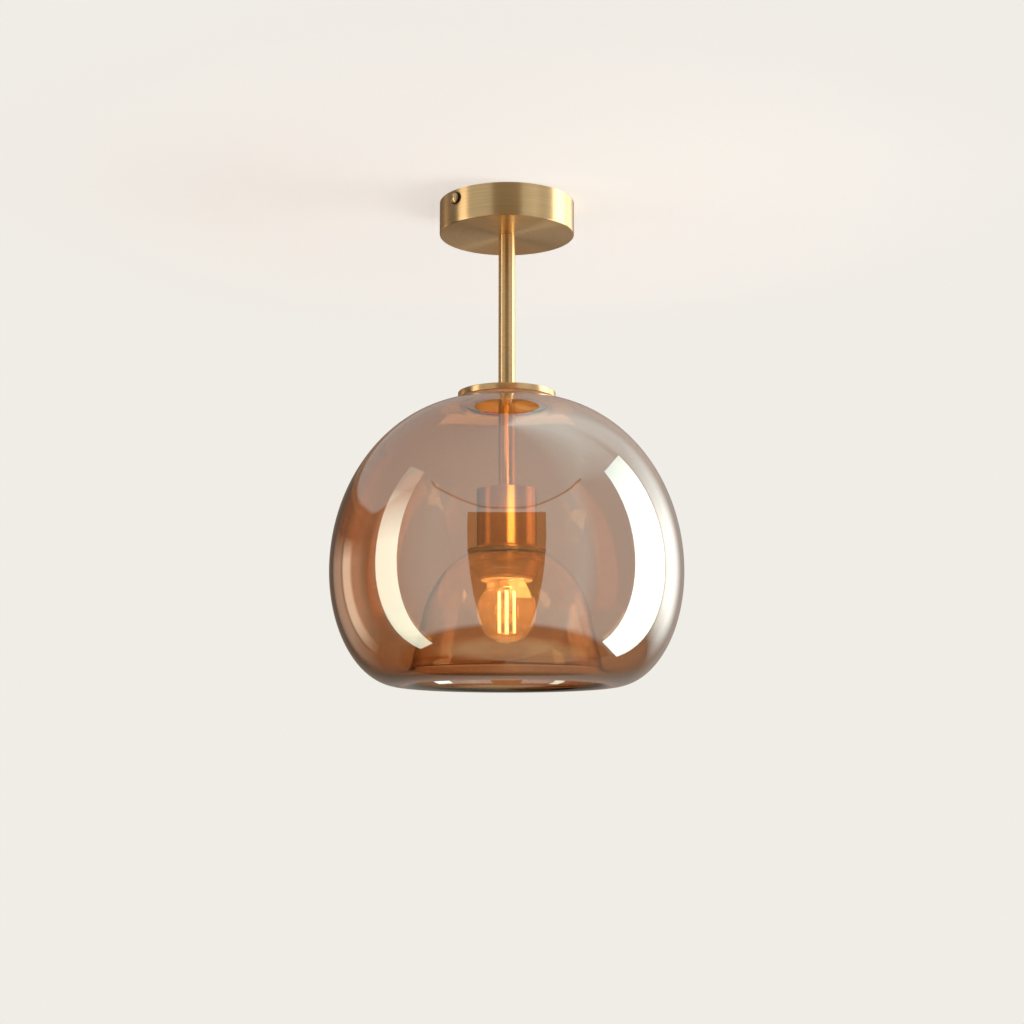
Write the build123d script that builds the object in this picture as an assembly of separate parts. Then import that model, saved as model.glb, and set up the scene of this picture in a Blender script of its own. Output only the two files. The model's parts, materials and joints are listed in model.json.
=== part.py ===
from build123d import *
import os
from math import atan, cos, degrees, pi, radians, sin, sqrt, tan

os.makedirs("parts", exist_ok=True)

# A semi flush ceiling light: canopy, short stem, E27 lampholder in a brass cup, and a one-piece
# double-walled glass shade whose inner bell is clamped by a shade ring.
# Millimetres. z = 0 is the ceiling, the lamp hangs towards -z, and its axis is the Z axis.
# The ceiling bracket lies along X, with one side screw at each end.

# ---------------------------------------------------------------- fits
running_fit = 0.05            # radial clearance of a shaft, screw or thread in its hole
loose_fit = 0.30              # clearance between parts that only lie beside each other
screw_hole_fit = 0.25         # radial clearance of a screw in a plain hole

# ---------------------------------------------------------------- canopy, bracket and side screws
canopy_radius = 51.5
canopy_height = 25.4
canopy_wall = 1.2
canopy_edge_radius = 1.0
side_screw_drop = 6.8         # screw axis below the ceiling
bracket_width = 20.0
bracket_thickness = 1.6
bracket_bend_radius = 1.0
ear_width = 14.0
ear_drop = 12.6               # lower edge of the ears below the ceiling
ear_neck_length = 14.0        # end of the strap that is as narrow as its ear
slot_spacing = 60.0           # between the two ceiling screws
slot_width = 5.2
slot_length = 14.0            # end to end
wire_hole_radius = 7.0
tongue_width = 31.0           # side plate that carries the terminal block
tongue_reach = 29.0           # its free edge, from the lamp's axis
tongue_corner_radius = 3.0
tap_collar_radius = 3.6       # drawn collars round the tapped holes
tap_collar_height = 1.6

m4_radius = 2.0
m4_head_radius = 3.85
m4_head_height = 2.5
m4_head_edge = 0.9            # height of the head's straight edge, under its dome
side_screw_length = 8.0
side_washer_radius = 4.75
side_washer_thickness = 0.8
driver_recess_length = 2.2    # each arm pair of the cross recess
driver_recess_width = 0.66
driver_recess_depth = 1.4
screw_end_gap = 0.2           # between a screw's end and the ceiling

earth_screw_offset = 14.6     # from the lamp's axis, along the bracket
lug_thickness = 0.8
lug_radius = 3.9
lug_neck = 0.6                # from the lug's ring to its barrel
lug_overlap = 0.5             # of the lug's plate inside its barrel
lug_barrel_radius = 1.7
lug_barrel_length = 4.0

# ---------------------------------------------------------------- terminal block and wires
way_pitch = 9.0
way_count = 3
block_depth = 15.0            # along Y
block_height = 9.0
block_base_height = 6.4
block_margin = 1.0            # beyond the outer ways, and beyond the block on the tongue
block_corner_radius = 1.0
tower_radius = 3.0
terminal_tube_radius = 2.1
terminal_tube_bore = 1.35
terminal_tube_inset = 1.0     # of each end, inside the block
terminal_screw_radius = 1.2
terminal_screw_recess = 0.4   # of its face, inside the tower
terminal_screw_tip = 0.67     # from its tip to the middle of the tube
driver_slot_width = 0.5
driver_slot_depth = 0.8
terminal_screw_spread = 8.0   # between the two screws of one way
block_screw_radius = 1.0
block_screw_head_radius = 1.45
block_screw_head_height = 1.2
block_screw_head_edge = 0.4

wire_radius = 1.0
wire_in_way = 1.0             # end of a wire inside the terminal block
wire_offset = 1.35            # of a wire from the lamp's axis inside the stem
wire_dip = 1.8                # of a wire over the upper nipple, below the ways
wire_fan = 0.75               # how much of the ways' spread is left halfway to the nipple
wire_drop = 3.9               # of its last upright stretch, into the lampholder's terminal
earth_wire_straight = 2.0     # before the earth wire's only bend

# ---------------------------------------------------------------- stem and its nipples
stem_radius = 6.35
stem_length = 197.0
nipple_radius = 5.0           # M10 x 1 threaded tube
nipple_bore_radius = 3.7
nipple_engagement = 14.0      # in each end of the stem
nut_across_flats = 14.0
nut_height = 3.0
lock_washer_radius = 8.0
lock_washer_thickness = 0.9
nipple_stand_out = 1.6        # beyond the nut in the canopy

# ---------------------------------------------------------------- lampholder cup
cup_radius = 22.3
cup_height = 46.8             # top face to the underside of its brim
cup_wall = 1.2
cup_top_wall = 1.5
brim_radius = 29.8
brim_edge = 1.0               # thickness at the brim's rim
brim_slope = 12.0             # of its upper face, in degrees
brim_bend_radius = 2.0        # where the wall turns out into the brim

# ---------------------------------------------------------------- lampholder and its contacts
skirt_radius = 19.75          # the shade ring's thread
skirt_bore_radius = 15.6
skirt_below_ring = 1.9        # how far the skirt shows under the ring
skirt_lip_radius = 14.6
skirt_lip_height = 1.6
skirt_chamfer = 0.8
holder_collar_radius = 8.5
holder_collar_height = 5.5
holder_cap_height = 21.0
holder_cap_wall = 1.8
holder_cap_slope = 7.0        # height of its sloping shoulder
holder_shoulder_wall = 1.1    # upright thickness of that shoulder
holder_shoulder_step = 1.0    # of the shoulder's top, above the collar's foot
skirt_spigot_height = 4.5     # of the skirt, inside the cap
core_height = 9.2
core_above_cap_foot = 0.5
shell_bore_radius = 13.5      # E27 screw shell
shell_wall = 0.5
shell_height = 25.5
shell_flange = 4.0            # inward, at its top
terminal_cube = 5.0
terminal_chamfer = 0.5
terminal_spread = 8.6         # of a holder terminal from the axis
holder_screw_radius = 1.1
holder_screw_head_radius = 1.9
holder_screw_head_height = 1.4
holder_screw_tip = 0.4        # from its tip to the middle of the terminal
holder_screw_stand_out = 0.6  # of its shank between head and terminal
contact_width = 4.6
contact_thickness = 0.5
contact_drop = 3.0            # of the centre contact under the ceramic core
contact_leg_offset = 8.6
contact_leg_drop = 1.2        # of its upright leg, below the core
contact_bend_allowance = 0.2  # the strip's outer side bends later than its inner side
contact_knee = 0.4

# ---------------------------------------------------------------- shade ring and gaskets
ring_rim_radius = 28.5
ring_rim_height = 3.6
ring_cone_top_radius = 26.9
ring_cone_foot_radius = 21.9
ring_cone_height = 8.1
ring_lip_height = 2.5
ring_thread_length = 6.5      # of the part that runs on the skirt
ring_relief_radius = 22.6     # hollow inside the cone
ring_relief_taper = 2.4
ring_edge_radius = 0.6
shade_gasket_thickness = 1.8
upper_gasket_radius = 28.6
lower_gasket_radius = 28.0
shade_gasket_bore = 20.8

# ---------------------------------------------------------------- glass shade
glass_wall = 2.8
fold_wall = 4.2               # glass is thicker where it is folded
bell_hole_radius = 20.7
bell_radius = 64.0            # half axes of the bell's elliptical head
bell_rise = 70.5
bell_seat_radius = 28.9       # where its flat clamped face ends
bell_flare_angle = 12.0       # of the skirt of the bell, from vertical
bell_foot_inset = 1.8         # of the inside crease, from the circle of the lowest points
bell_flare_height = 13.8      # height of the foot's outward curl
shade_radius = 131.8
shade_drop = 98.9             # lowest point below the clamped face
waist_drop = 12.9             # widest circle below the clamped face
dome_rise = 129.6             # of the upper quarter ellipse above the widest circle
dome_crown_radius = 22.0      # where that ellipse would be level
dome_seat_radius = 36.3       # edge of the ground seat for the cap
dome_hole_radius = 31.0       # lets the lampholder cup through
fold_bend_radius = 11.0
glass_edge_radius = 0.9

# ---------------------------------------------------------------- cap on the shade
cap_radius = 36.9
cap_thickness = 4.8
cap_edge_radius = 0.7
cap_boss_radius = 24.55
cap_boss_height = 3.9
cap_gasket_thickness = 2.2
cap_gasket_radius = 35.6
cap_gasket_bore = 31.6

# ---------------------------------------------------------------- bulb (G45 globe on an E27 cap)
globe_radius = 22.5
globe_centre_to_tip = 53.4    # from the contact's tip to the globe's centre
bulb_neck_radius = 12.2
bulb_glass_wall = 0.8
bulb_neck_blend = 9.0
bulb_shell_radius = 13.2
bulb_shell_wall = 0.45
bulb_shell_length = 21.2
bulb_shell_chamfer = 0.8
bulb_shell_mouth = 7.7        # radius of the hole in its top
bulb_insulator_height = 3.8
bulb_insulator_radius = 10.6  # where it meets the shell
bulb_contact_radius = 4.7
bulb_contact_height = 1.9
bulb_contact_edge = 1.1
neck_in_shell = 6.0
filament_circle = 5.6
filament_radius = 1.0
filament_length = 30.0
filament_count = 4
filament_centre_drop = 0.4    # of their middle, below the globe's centre
half_hoop_angle = 140         # of each hoop that joins two filaments
lead_radius = 0.35
lead_start_radius = 1.2       # of the leads' upper ends, from the axis
mount_rod_radius = 2.4
mount_rod_gap = 2.4           # from the filaments up to the rod
mount_flare_gap = 2.0         # of the flare, under the end of the neck
mount_flare_edge = 1.0
mount_shoulder = 1.2          # how much wider the rod is halfway up

# ---------------------------------------------------------------- levels worked out from the sizes
canopy_floor = -canopy_height
stem_end = canopy_floor - stem_length
brim_face = stem_end - cup_height
bell_seat = brim_face - shade_gasket_thickness
ring_top = bell_seat - glass_wall - shade_gasket_thickness
rim_foot = ring_top - ring_rim_height
cone_foot = rim_foot - ring_cone_height
ring_foot = cone_foot - ring_lip_height
skirt_foot = ring_foot - skirt_below_ring
holder_top = stem_end - cup_top_wall - lock_washer_thickness - nut_height
holder_cap_foot = holder_top - holder_cap_height
core_top = holder_cap_foot + core_above_cap_foot
core_foot = core_top - core_height
bulb_tip = core_foot - contact_drop - contact_thickness - running_fit
globe_centre = bulb_tip - globe_centre_to_tip
bulb_shell_top = bulb_tip - bulb_contact_height - bulb_insulator_height
bulb_shell_foot = bulb_shell_top - bulb_shell_length
waist = bell_seat - waist_drop
shade_foot = bell_seat - shade_drop
dome_seat = waist + dome_rise * sqrt(1 - ((dome_seat_radius - dome_crown_radius)
                                          / (shade_radius - dome_crown_radius)) ** 2)
cap_face = dome_seat + cap_gasket_thickness
canopy_bore = canopy_radius - canopy_wall
ear_face = sqrt((canopy_bore - loose_fit) ** 2 - (ear_width / 2) ** 2)


# ---------------------------------------------------------------- helpers
def tube(radius, bore, top, height):
    """An upright tube, or a rod where bore is 0."""
    with BuildPart() as part:
        with Locations((0, 0, top - height / 2)):
            Cylinder(radius, height)
            if bore:
                Cylinder(bore, height, mode=Mode.SUBTRACT)
    return part.part


def turned(points):
    """A solid turned about the lamp's axis from corners (radius, height)."""
    with BuildPart() as part:
        with BuildSketch(Plane.XZ):
            with BuildLine():
                Polyline(*points, close=True)
            make_face()
        revolve(axis=Axis.Z)
    return part.part


def hex_nut(top):
    """An M10 x 1 lock nut whose upper face is at the height given."""
    with BuildPart() as part:
        with BuildSketch(Plane.XY.offset(top)):
            RegularPolygon(nut_across_flats / 2, 6, major_radius=False)
            Circle(nipple_radius + running_fit, mode=Mode.SUBTRACT)
        extrude(amount=-nut_height)
    return part.part


def pan_screw(length):
    """A cross-recessed M4 screw along X: its head lies beyond x = 0 and its shank below."""
    with BuildPart() as part:
        with BuildSketch(Plane.XZ):
            with BuildLine():
                Line((-length, 0), (-length, m4_radius))
                Line((-length, m4_radius), (0, m4_radius))
                Line((0, m4_radius), (0, m4_head_radius))
                Line((0, m4_head_radius), (m4_head_edge, m4_head_radius))
                TangentArc((m4_head_height, 0), (m4_head_edge, m4_head_radius), tangent=(0, 1))
                Line((m4_head_height, 0), (-length, 0))
            make_face()
        revolve(axis=Axis.X)
        with BuildSketch(Plane.YZ.offset(m4_head_height)):
            Rectangle(driver_recess_length, driver_recess_width)
            Rectangle(driver_recess_width, driver_recess_length)
        extrude(amount=-driver_recess_depth, mode=Mode.SUBTRACT)
    return part.part


def bent_wire(points, radii):
    """An insulated wire of the lamp along straight runs joined by arcs."""
    with BuildPart() as part:
        with BuildLine() as route:
            FilletPolyline(*points, radius=radii)
        with BuildSketch(Plane(origin=route.line @ 0, z_dir=route.line % 0)):
            Circle(wire_radius)
        sweep()
    return part.part


def arc_radii(points):
    """The largest arc for each corner of a route, as wide as its two runs allow."""
    corners = [Vector(*point) for point in points]
    radii = []
    for before, corner, after in zip(corners, corners[1:], corners[2:]):
        turn = radians((corner - before).get_angle(after - corner))
        shorter_run = min((corner - before).length, (after - corner).length)
        radii.append(0.45 * shorter_run / tan(turn / 2))
    return radii


# ---------------------------------------------------------------- bracket and what is screwed to it
way_offsets = [(way - (way_count - 1) / 2) * way_pitch for way in range(way_count)]
block_width = (way_count - 1) * way_pitch + 2 * (tower_radius + block_margin)
block_centre_y = tongue_reach - block_margin - block_depth / 2
block_face_y = block_centre_y - block_depth / 2
tube_axis = -bracket_thickness - block_base_height / 2
block_screw_offsets = [way_pitch / 2, -way_pitch / 2]


def make_bracket():
    """A folded steel strap: two ears for the side screws and a side plate for the terminals."""
    with BuildPart() as part:
        with BuildSketch(Plane.XZ):
            with Locations((0, -ear_drop / 2)):
                Rectangle(2 * ear_face, ear_drop)
            with Locations((0, -bracket_thickness - ear_drop / 2)):
                Rectangle(2 * (ear_face - bracket_thickness), ear_drop, mode=Mode.SUBTRACT)
        extrude(amount=bracket_width / 2, both=True)
        outer = part.edges().filter_by(Axis.Y).group_by(Axis.Z)[-1]
        fillet(outer, bracket_bend_radius + bracket_thickness)
        # the ears are narrower than the strap
        for side in (1, -1):
            for end in (1, -1):
                cut = (bracket_width - ear_width) / 2
                with Locations((end * ear_face, side * (bracket_width - cut) / 2, -ear_drop / 2)):
                    Box(2 * ear_neck_length, cut, 2 * ear_drop, mode=Mode.SUBTRACT)
        with BuildSketch(Plane.XY):
            with Locations((0, tongue_reach / 2)):
                Rectangle(tongue_width, tongue_reach)
            fillet(vertices().group_by(Axis.Y)[-1], tongue_corner_radius)
        extrude(amount=-bracket_thickness)
        # drawn collars for the tapped holes
        for end in (1, -1):
            collar_face = end * (ear_face - bracket_thickness)
            with Locations(Plane((collar_face, 0, -side_screw_drop), z_dir=(-end, 0, 0))):
                Cylinder(tap_collar_radius, tap_collar_height, align=(Align.CENTER,) * 2 + (Align.MIN,))
            with Locations(Plane((end * ear_face, 0, -side_screw_drop), z_dir=(-end, 0, 0))):
                Cylinder(m4_radius + running_fit, 3 * (bracket_thickness + tap_collar_height),
                         mode=Mode.SUBTRACT)
        with Locations((-earth_screw_offset, 0, -bracket_thickness - tap_collar_height / 2)):
            Cylinder(tap_collar_radius, tap_collar_height)
        with Locations((-earth_screw_offset, 0, -bracket_thickness)):
            Cylinder(m4_radius + running_fit, 4 * bracket_thickness, mode=Mode.SUBTRACT)
        with BuildSketch(Plane.XY):
            Circle(wire_hole_radius)
            with Locations((slot_spacing / 2, 0), (-slot_spacing / 2, 0)):
                SlotOverall(slot_length, slot_width)
            with Locations([(offset, block_centre_y) for offset in block_screw_offsets]):
                Circle(block_screw_radius + running_fit)
        extrude(amount=-bracket_thickness, mode=Mode.SUBTRACT)
    return part.part


def make_earth_screw():
    """Holds the earth lug against its drawn collar under the strap."""
    head_face = -bracket_thickness - tap_collar_height - lug_thickness
    screw = pan_screw(-head_face - screw_end_gap).rotate(Axis.Y, 90)
    return screw.moved(Location((-earth_screw_offset, 0, head_face)))


lug_barrel_start = lug_radius + lug_neck
lug_level = -bracket_thickness - tap_collar_height - lug_thickness / 2
earth_bend_y = block_face_y - earth_wire_straight
lug_turn = atan((way_offsets[0] + earth_screw_offset) / earth_bend_y)


def make_earth_lug():
    """A ring terminal with its barrel turned towards the earth way of the block."""
    with BuildPart() as part:
        with BuildSketch(Plane.XY.offset(lug_level + lug_thickness / 2)):
            Circle(lug_radius)
            with Locations((0, lug_barrel_start / 2)):
                Rectangle(2 * lug_barrel_radius, lug_barrel_start + 2 * lug_overlap)
            Circle(m4_radius + screw_hole_fit, mode=Mode.SUBTRACT)
        extrude(amount=-lug_thickness)
        with Locations(Plane((0, lug_barrel_start, lug_level), z_dir=(0, 1, 0))):
            Cylinder(lug_barrel_radius, lug_barrel_length, align=(Align.CENTER,) * 2 + (Align.MIN,))
            Cylinder(wire_radius + running_fit, lug_barrel_length,
                     align=(Align.CENTER,) * 2 + (Align.MIN,), mode=Mode.SUBTRACT)
    lug = part.part.rotate(Axis.Z, -degrees(lug_turn))
    return lug.moved(Location((-earth_screw_offset, 0, 0)))


def make_terminal_block():
    """A moulded three-way block: a base with a screw tower at both ends of each way."""
    tower_height = block_height - block_base_height
    with BuildPart() as part:
        with Locations((0, block_centre_y, -bracket_thickness - block_base_height / 2)):
            Box(block_width, block_depth, block_base_height)
        fillet(part.edges().filter_by(Axis.Z), block_corner_radius)
        for offset in way_offsets:
            for end in (1, -1):
                tower_y = block_centre_y + end * terminal_screw_spread / 2
                tower_top = -bracket_thickness - block_base_height - tower_height / 2
                with Locations((offset, tower_y, tower_top)):
                    Cylinder(tower_radius, tower_height)
                    Cylinder(terminal_screw_radius + screw_hole_fit, 2 * block_height,
                             mode=Mode.SUBTRACT)
            with Locations(Plane((offset, block_centre_y, tube_axis), z_dir=(0, 1, 0))):
                Cylinder(terminal_tube_radius + running_fit, block_depth, mode=Mode.SUBTRACT)
        for offset in block_screw_offsets:
            with Locations((offset, block_centre_y, -block_height)):
                Cylinder(block_screw_radius + screw_hole_fit, 2 * block_height, mode=Mode.SUBTRACT)
        with Locations((0, block_centre_y, -bracket_thickness / 2)):
            Box(tongue_width, tongue_width, bracket_thickness, mode=Mode.SUBTRACT)
    return part.part


def make_terminal_tubes():
    """One brass tube in each way, with a tapped hole at each end for its screws."""
    tubes = []
    for offset in way_offsets:
        with BuildPart() as part:
            with Locations(Plane((offset, block_centre_y, tube_axis), z_dir=(0, 1, 0))):
                Cylinder(terminal_tube_radius, block_depth - 2 * terminal_tube_inset)
                Cylinder(terminal_tube_bore, block_depth, mode=Mode.SUBTRACT)
            for end in (1, -1):
                screw_y = block_centre_y + end * terminal_screw_spread / 2
                with Locations((offset, screw_y, tube_axis - terminal_tube_radius)):
                    Cylinder(terminal_screw_radius + running_fit, 2 * terminal_tube_radius,
                             mode=Mode.SUBTRACT)
        tubes.append(part.part)
    return Compound(tubes)


def make_terminal_screws():
    """Two clamping screws to each way, seen as slotted heads in the towers."""
    tip = tube_axis - terminal_screw_tip
    face = -bracket_thickness - block_height + terminal_screw_recess
    screws = []
    for offset in way_offsets:
        for end in (1, -1):
            screw_y = block_centre_y + end * terminal_screw_spread / 2
            with BuildPart() as part:
                with Locations((offset, screw_y, (tip + face) / 2)):
                    Cylinder(terminal_screw_radius, tip - face)
                with Locations((offset, screw_y, face)):
                    Box(2 * terminal_screw_radius, driver_slot_width, 2 * driver_slot_depth,
                        mode=Mode.SUBTRACT)
            screws.append(part.part)
    return Compound(screws)


def make_block_screws():
    """Two small screws hold the block up against the bracket's side plate."""
    screws = []
    for offset in block_screw_offsets:
        head_face = -bracket_thickness - block_base_height
        with BuildPart() as part:
            with Locations((offset, block_centre_y, (head_face - screw_end_gap) / 2)):
                Cylinder(block_screw_radius, -head_face - screw_end_gap)
            with Locations((offset, block_centre_y, head_face - block_screw_head_height / 2)):
                Cylinder(block_screw_head_radius, block_screw_head_height)
                fillet(part.faces().sort_by(Axis.Z)[0].edges(), block_screw_head_edge)
        screws.append(part.part)
    return Compound(screws)


# ---------------------------------------------------------------- canopy, stem and their fasteners
def make_canopy():
    """The spun brass cup that hides the bracket: open at the ceiling, bored for the stem."""
    with BuildPart() as part:
        with Locations((0, 0, canopy_floor / 2)):
            Cylinder(canopy_radius, canopy_height)
        fillet(part.faces().sort_by(Axis.Z)[0].edges(), canopy_edge_radius)
        with Locations((0, 0, (canopy_floor + canopy_wall) / 2)):
            Cylinder(canopy_bore, canopy_height - canopy_wall, mode=Mode.SUBTRACT)
        with Locations((0, 0, canopy_floor)):
            Cylinder(nipple_radius + screw_hole_fit, 4 * canopy_wall, mode=Mode.SUBTRACT)
        with Locations(Plane((0, 0, -side_screw_drop), z_dir=(1, 0, 0))):
            Cylinder(m4_radius + screw_hole_fit, 3 * canopy_radius, mode=Mode.SUBTRACT)
    return part.part


def make_stem():
    """A polished brass tube, threaded inside at both ends."""
    return tube(stem_radius, nipple_radius + running_fit, canopy_floor, stem_length)


canopy_washer_top = canopy_floor + canopy_wall + lock_washer_thickness
upper_nipple_top = canopy_washer_top + nut_height + nipple_stand_out
lower_nipple_foot = holder_top - holder_collar_height


def make_upper_nipple():
    """Threaded tube from the nut in the canopy down into the stem."""
    height = upper_nipple_top - canopy_floor + nipple_engagement
    return tube(nipple_radius, nipple_bore_radius, upper_nipple_top, height)


def make_lower_nipple():
    """Threaded tube from the stem through the cup into the lampholder's collar."""
    top = stem_end + nipple_engagement
    return tube(nipple_radius, nipple_bore_radius, top, top - lower_nipple_foot)


def make_lock_washer(top):
    """A plain spring washer under the nut."""
    return tube(lock_washer_radius, nipple_radius + screw_hole_fit, top, lock_washer_thickness)


def make_side_screw(side):
    """A domed brass screw through the canopy's wall into the bracket's ear."""
    seat = canopy_radius + loose_fit + side_washer_thickness
    screw = pan_screw(side_screw_length + loose_fit)
    if side < 0:
        screw = screw.rotate(Axis.Z, 180)
    return screw.moved(Location((side * seat, 0, -side_screw_drop)))


def make_side_washer(side):
    """A dark washer that rides out with the screw's head."""
    inner_face = canopy_radius + loose_fit
    with BuildPart() as part:
        with Locations(Plane((side * inner_face, 0, -side_screw_drop), z_dir=(side, 0, 0))):
            Cylinder(side_washer_radius, side_washer_thickness,
                     align=(Align.CENTER,) * 2 + (Align.MIN,))
            Cylinder(m4_radius + running_fit, 4 * side_washer_thickness, mode=Mode.SUBTRACT)
    return part.part


# ---------------------------------------------------------------- wires
def make_line_wires():
    """The two supply wires, from the block through the stem to the lampholder's terminals."""
    wires = []
    ways = (way_offsets[1], way_offsets[2])
    for way, side in zip(ways, (-1, 1)):
        terminal = side * terminal_spread
        points = [
            (way, block_face_y + wire_in_way, tube_axis),
            (way * wire_fan, block_face_y / 2, tube_axis),
            (side * wire_offset, 0, tube_axis - wire_dip),
            (side * wire_offset, 0, lower_nipple_foot),
            (terminal, 0, core_top + terminal_cube + wire_drop),
            (terminal, 0, core_top + terminal_cube),
        ]
        wires.append(bent_wire(points, arc_radii(points)))
    return wires


def make_earth_wire():
    """The short bonding lead from the earth way to the lug on the bracket."""
    way = way_offsets[0]
    barrel_end = lug_barrel_start + lug_barrel_length
    points = [
        (way, block_face_y + wire_in_way, tube_axis),
        (way, earth_bend_y, tube_axis),
        (barrel_end * sin(lug_turn) - earth_screw_offset, barrel_end * cos(lug_turn), lug_level),
    ]
    return bent_wire(points, arc_radii(points))


# ---------------------------------------------------------------- lampholder cup and lampholder
def make_cup():
    """The brass cup over the lampholder, spun out at its mouth into a brim."""
    inside = cup_radius - cup_wall
    hole = nipple_radius + screw_hole_fit
    brim_top = brim_face + brim_edge
    brim_corner = brim_top + (brim_radius - cup_radius) * tan(radians(brim_slope))
    with BuildPart() as part:
        with BuildSketch(Plane.XZ):
            with BuildLine():
                FilletPolyline((cup_radius, stem_end), (cup_radius, brim_corner),
                               (brim_radius, brim_top), radius=brim_bend_radius)
                Polyline((brim_radius, brim_top), (brim_radius, brim_face), (inside, brim_face),
                         (inside, stem_end - cup_top_wall), (hole, stem_end - cup_top_wall),
                         (hole, stem_end), (cup_radius, stem_end))
            make_face()
        revolve(axis=Axis.Z)
    return part.part


def make_holder_cap():
    """The lampholder's cap: a threaded collar on a hollow shoulder."""
    collar_foot = holder_top - holder_collar_height
    shoulder_foot = collar_foot - holder_cap_slope
    inner = skirt_radius - holder_cap_wall
    bore = nipple_radius + running_fit
    return turned([
        (bore, holder_top),
        (holder_collar_radius, holder_top),
        (holder_collar_radius, collar_foot + holder_shoulder_step),
        (skirt_radius, shoulder_foot + holder_cap_wall),
        (skirt_radius, holder_cap_foot),
        (inner, holder_cap_foot),
        (inner, shoulder_foot + holder_cap_wall - holder_shoulder_wall),
        (holder_collar_radius, collar_foot - holder_shoulder_wall),
        (bore, collar_foot - holder_shoulder_wall),
    ])


def make_holder_skirt():
    """The ceramic sleeve round the screw shell; the shade ring screws up its outside."""
    spigot_radius = skirt_radius - holder_cap_wall - running_fit
    spigot_top = holder_cap_foot + skirt_spigot_height
    return turned([
        (skirt_bore_radius, spigot_top),
        (spigot_radius, spigot_top),
        (spigot_radius, holder_cap_foot),
        (skirt_radius, holder_cap_foot),
        (skirt_radius, skirt_foot + skirt_chamfer),
        (skirt_radius - skirt_chamfer, skirt_foot),
        (skirt_lip_radius, skirt_foot),
        (skirt_lip_radius, skirt_foot + skirt_lip_height),
        (skirt_bore_radius, skirt_foot + skirt_lip_height),
    ])


def make_holder_core():
    """The ceramic block in the skirt, slotted for the centre contact's leg."""
    with BuildPart() as part:
        with Locations((0, 0, core_top - core_height / 2)):
            Cylinder(skirt_bore_radius - running_fit, core_height)
        with Locations((contact_leg_offset, 0, core_top - core_height / 2)):
            Box(contact_thickness + 2 * running_fit, contact_width + 2 * running_fit,
                2 * core_height, mode=Mode.SUBTRACT)
    return part.part


def make_screw_shell():
    """The E27 shell under the ceramic core, with its inward top flange."""
    outer = shell_bore_radius + shell_wall
    return turned([
        (outer - shell_flange, core_foot),
        (outer, core_foot),
        (outer, core_foot - shell_height),
        (shell_bore_radius, core_foot - shell_height),
        (shell_bore_radius, core_foot - shell_wall),
        (outer - shell_flange, core_foot - shell_wall),
    ])


def make_centre_contact():
    """A spring strip: a leg down through the core, then a tongue to the lamp's axis."""
    strip_top = core_foot - contact_drop
    reach = contact_width / 2
    half = contact_thickness / 2
    leg_foot = core_foot - contact_leg_drop
    with BuildPart() as part:
        with BuildSketch(Plane.XZ):
            with BuildLine():
                Polyline(
                    (contact_leg_offset - half, core_top),
                    (contact_leg_offset + half, core_top),
                    (contact_leg_offset + half, leg_foot - contact_bend_allowance),
                    (reach + contact_knee, strip_top - contact_thickness),
                    (-reach, strip_top - contact_thickness),
                    (-reach, strip_top),
                    (reach, strip_top),
                    (contact_leg_offset - half, leg_foot),
                    close=True,
                )
            make_face()
        extrude(amount=contact_width / 2, both=True)
    return part.part


def make_holder_terminals():
    """Two brass clamps on top of the core, bored from the side for their screws."""
    clamps = []
    for side in (1, -1):
        with BuildPart() as part:
            with Locations((side * terminal_spread, 0, core_top + terminal_cube / 2)):
                Box(terminal_cube, terminal_cube, terminal_cube)
                chamfer(part.edges().filter_by(Axis.Z), terminal_chamfer)
            middle = (side * terminal_spread, 0, core_top + terminal_cube / 2)
            with Locations(Plane(middle, z_dir=(0, -1, 0))):
                Cylinder(holder_screw_radius + running_fit, terminal_cube,
                         align=(Align.CENTER,) * 2 + (Align.MIN,), mode=Mode.SUBTRACT)
        clamps.append(part.part)
    return Compound(clamps)


def make_holder_screws():
    """The clamping screws of the lampholder's two terminals."""
    screws = []
    for side in (1, -1):
        level = core_top + terminal_cube / 2
        with BuildPart() as part:
            tip = Plane((side * terminal_spread, -holder_screw_tip, level), z_dir=(0, -1, 0))
            head = tip.offset(terminal_cube / 2 + holder_screw_stand_out - holder_screw_tip)
            with Locations(tip):
                Cylinder(holder_screw_radius, terminal_cube / 2 + holder_screw_stand_out,
                         align=(Align.CENTER,) * 2 + (Align.MIN,))
            with Locations(head):
                Cylinder(holder_screw_head_radius, holder_screw_head_height,
                         align=(Align.CENTER,) * 2 + (Align.MIN,))
        screws.append(part.part)
    return Compound(screws)


# ---------------------------------------------------------------- shade ring, gaskets and cap
def make_shade_ring():
    """A turned brass ring: rim, hollow cone and a threaded lip that runs on the skirt."""
    thread = skirt_radius + running_fit
    thread_top = ring_foot + ring_thread_length
    with BuildPart() as part:
        with BuildSketch(Plane.XZ):
            with BuildLine():
                Polyline(
                    (ring_relief_radius, ring_top),
                    (ring_rim_radius, ring_top),
                    (ring_rim_radius, rim_foot),
                    (ring_cone_top_radius, rim_foot),
                    (ring_cone_foot_radius, cone_foot),
                    (ring_cone_foot_radius, ring_foot),
                    (thread, ring_foot),
                    (thread, thread_top),
                    (ring_relief_radius, thread_top + ring_relief_taper),
                    close=True,
                )
            make_face()
        revolve(axis=Axis.Z)
        rim = part.edges().filter_by(GeomType.CIRCLE).filter_by(
            lambda edge: abs(edge.radius - ring_rim_radius) < 0.01)
        fillet(rim, ring_edge_radius)
    return part.part


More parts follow.
